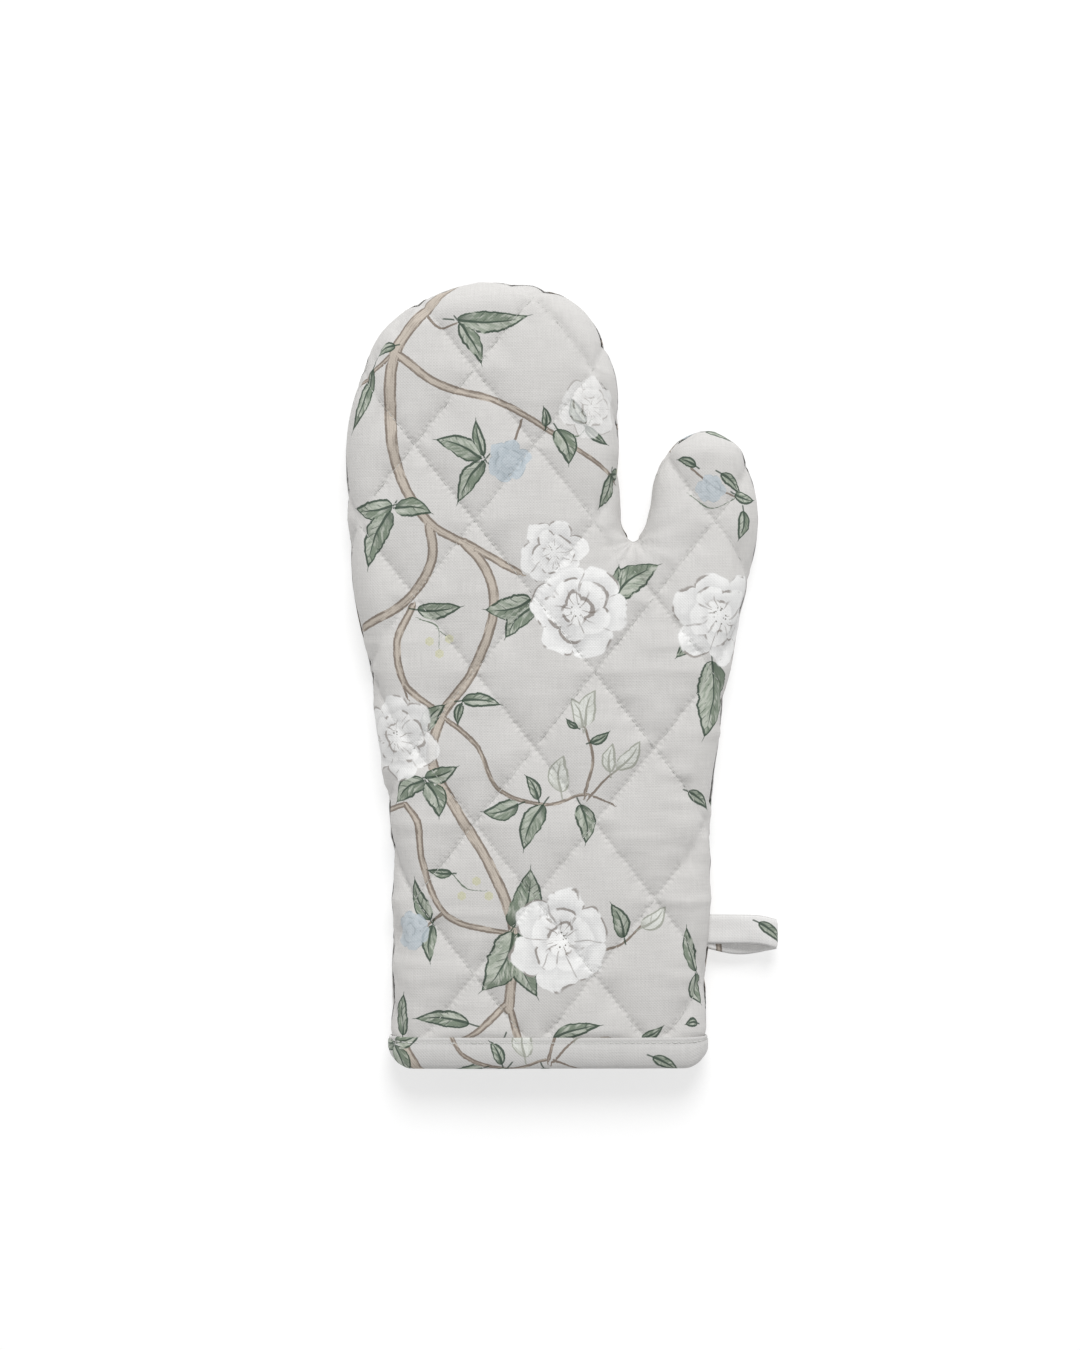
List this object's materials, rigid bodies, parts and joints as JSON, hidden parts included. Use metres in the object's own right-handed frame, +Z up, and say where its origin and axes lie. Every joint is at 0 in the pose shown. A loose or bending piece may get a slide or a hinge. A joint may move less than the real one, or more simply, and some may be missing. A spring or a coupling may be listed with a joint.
{
  "type": "oven mitt",
  "caption": "Quilted cotton oven mitt lying flat, with a bound cuff, a hanging loop in its side seam, and fingers and thumb that fold over the palm.",
  "frame": {"origin": "on the surface the mitt lies on, under the middle of its bounding box", "axes": "+Y from the cuff to the fingertips, +X towards the thumb's side, +Z up out of the front panel"},
  "size_m": [0.176, 0.3204, 0.026],
  "materials": {
    "printed_cotton": null,
    "wadding": "loose white cotton wadding",
    "lining_cotton": "plain undyed cotton",
    "binding_cotton": "smooth cotton strip with a slight sheen, the same print",
    "thread": "spun sewing thread"
  },
  "bodies": {
    "palm": {"front_print_palm": "printed_cotton", "back_print_palm": "printed_cotton", "front_wadding_palm": "wadding", "back_wadding_palm": "wadding", "front_lining_palm": "lining_cotton", "back_lining_palm": "lining_cotton", "seam_thread_left": "thread", "seam_thread_crotch": "thread", "seam_thread_right": "thread", "cuff_binding": "binding_cotton", "binding_needle_thread": "thread", "binding_bobbin_thread": "thread"},
    "fingers": {"front_print_fingers": "printed_cotton", "back_print_fingers": "printed_cotton", "front_wadding_fingers": "wadding", "back_wadding_fingers": "wadding", "front_lining_fingers": "lining_cotton", "back_lining_fingers": "lining_cotton", "seam_thread_fingers": "thread"},
    "thumb": {"front_print_thumb": "printed_cotton", "back_print_thumb": "printed_cotton", "front_wadding_thumb": "wadding", "back_wadding_thumb": "wadding", "front_lining_thumb": "lining_cotton", "back_lining_thumb": "lining_cotton", "seam_thread_thumb": "thread"},
    "loop": {"hanging_loop": "binding_cotton"}
  },
  "joints": [
    {"name": "finger_fold", "type": "hinge", "parent": "palm", "child": "fingers", "pos_m": [-0.00502, 0.07782, 0.0125], "axis": [1, 0, 0], "range_deg": [0, 60]},
    {"name": "thumb_fold", "type": "hinge", "parent": "palm", "child": "thumb", "pos_m": [0.03558, 0.06451, 0.0125], "axis": [0.866, -0.5, 0], "range_deg": [0, 45]},
    {"name": "loop_swing", "type": "hinge", "parent": "palm", "child": "loop", "pos_m": [0.06268, -0.10518, 0.009], "axis": [0, -1, 0], "range_deg": [-12, 75]}
  ]
}
